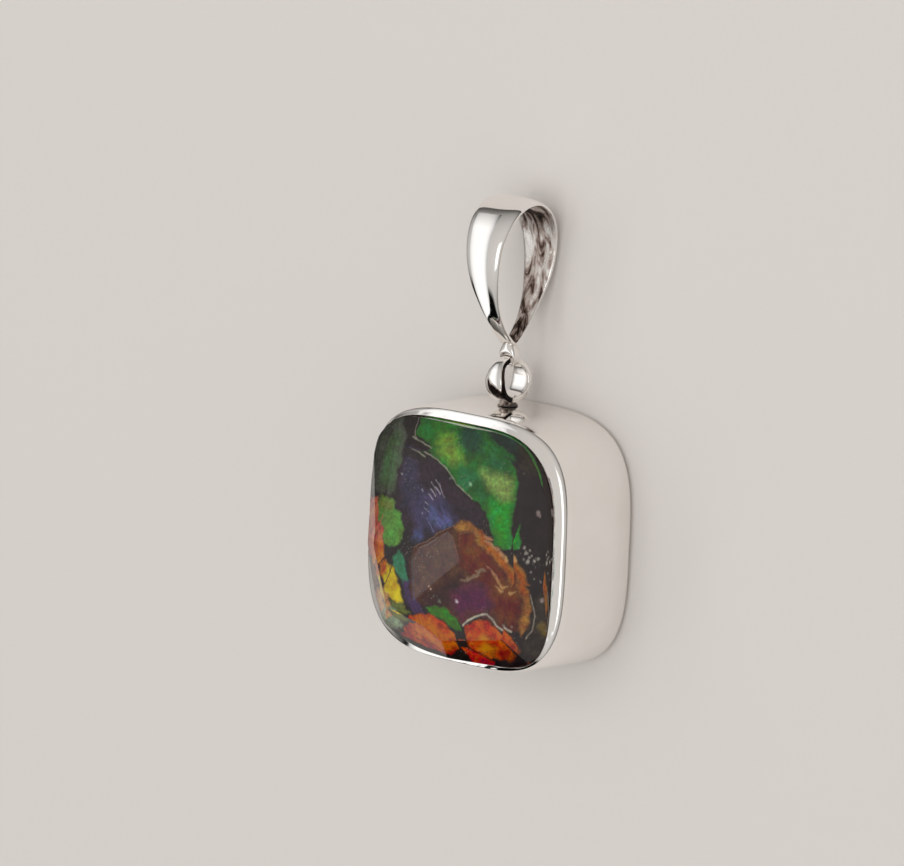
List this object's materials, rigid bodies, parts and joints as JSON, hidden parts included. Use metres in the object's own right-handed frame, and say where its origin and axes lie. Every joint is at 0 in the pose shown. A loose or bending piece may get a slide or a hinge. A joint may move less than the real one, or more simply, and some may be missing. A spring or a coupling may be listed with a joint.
{
  "type": "ammolite pendant",
  "caption": "Cushion ammolite gem under a faceted clear cap, in a deep polished silver box setting, with a band ring and a drop-shaped bail that swings on it.",
  "frame": {"origin": "centre of the setting's flat back, on the surface the pendant lies on", "axes": "+X across the stone to the viewer's right, +Y from the stone toward the bail, +Z out of the stone's face"},
  "size_m": [0.0164, 0.0287, 0.0086],
  "materials": {
    "polished_silver": "mirror polish",
    "ring_silver": "mirror polish",
    "bail_silver": "mirror polish, darkened inside",
    "ammolite": "iridescent nacre on dark shale",
    "clear_quartz": "polished facets"
  },
  "bodies": {
    "pendant": {"setting": "polished_silver", "ammolite_slab": "ammolite", "crystal_cap": "clear_quartz", "bail_ring": "ring_silver"},
    "bail": {"bail": "bail_silver"}
  },
  "joints": [
    {"name": "bail_swing", "type": "hinge", "parent": "pendant", "child": "bail", "pos_m": [0, 0.00955, 0.00278], "axis": [1, 0, 0], "range_deg": [-30, 30]}
  ]
}
